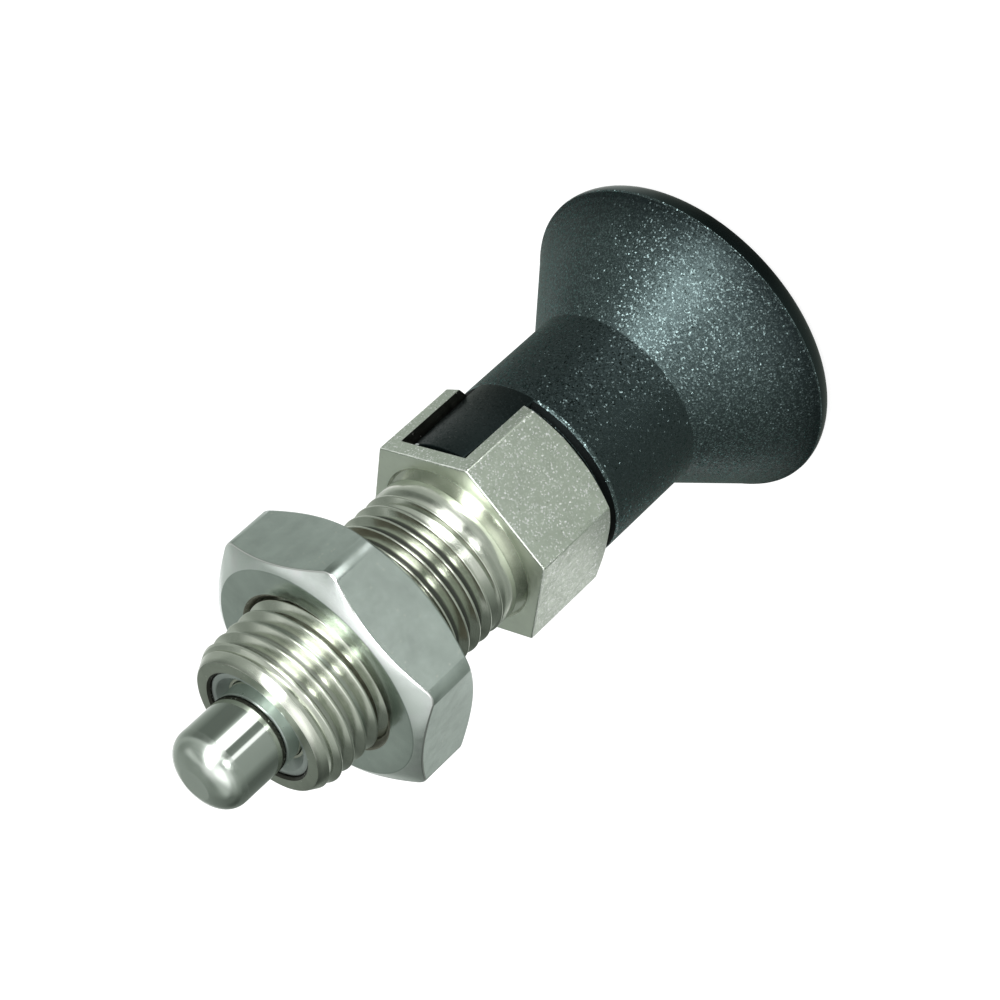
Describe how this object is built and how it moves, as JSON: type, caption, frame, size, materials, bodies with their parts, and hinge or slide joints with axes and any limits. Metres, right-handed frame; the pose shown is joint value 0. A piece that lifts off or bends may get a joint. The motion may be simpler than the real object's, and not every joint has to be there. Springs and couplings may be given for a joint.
{
  "type": "indexing plunger",
  "caption": "Indexing plunger: a threaded body with a hexagonal head and lock nut guides a spring-loaded locking pin, pulled back by a flared knob keyed in a slot.",
  "frame": {"origin": "centre of the hexagonal head's bearing face, on the pin's axis", "axes": "+Z along the pin from the knob to the nose; +X along the slot across the head; the part stands on the knob's flat top with the pin up"},
  "size_m": [0.0334, 0.0334, 0.0686],
  "materials": {
    "body_steel": "satin",
    "bush_steel": "satin",
    "pin_steel": "ground and polished",
    "spring_steel": "drawn wire",
    "knob_plastic": "fine textured matt",
    "nut_steel": "satin"
  },
  "bodies": {
    "body": {"threaded_body": "body_steel", "guide_bush": "bush_steel", "return_spring": "spring_steel"},
    "plunger": {"locking_pin": "pin_steel", "knob": "knob_plastic"},
    "nut": {"lock_nut": "nut_steel"}
  },
  "joints": [
    {"name": "knob_pull", "type": "slide", "parent": "body", "child": "plunger", "axis": [0, 0, -1], "range_m": [0, 0.0082], "stiffness_N_per_m": 1200, "springref_m": -0.005, "deforming": ["return_spring"]},
    {"name": "nut_travel", "type": "slide", "parent": "body", "child": "nut", "axis": [0, 0, 1], "range_m": [-0.0082, 0.0074]}
  ]
}
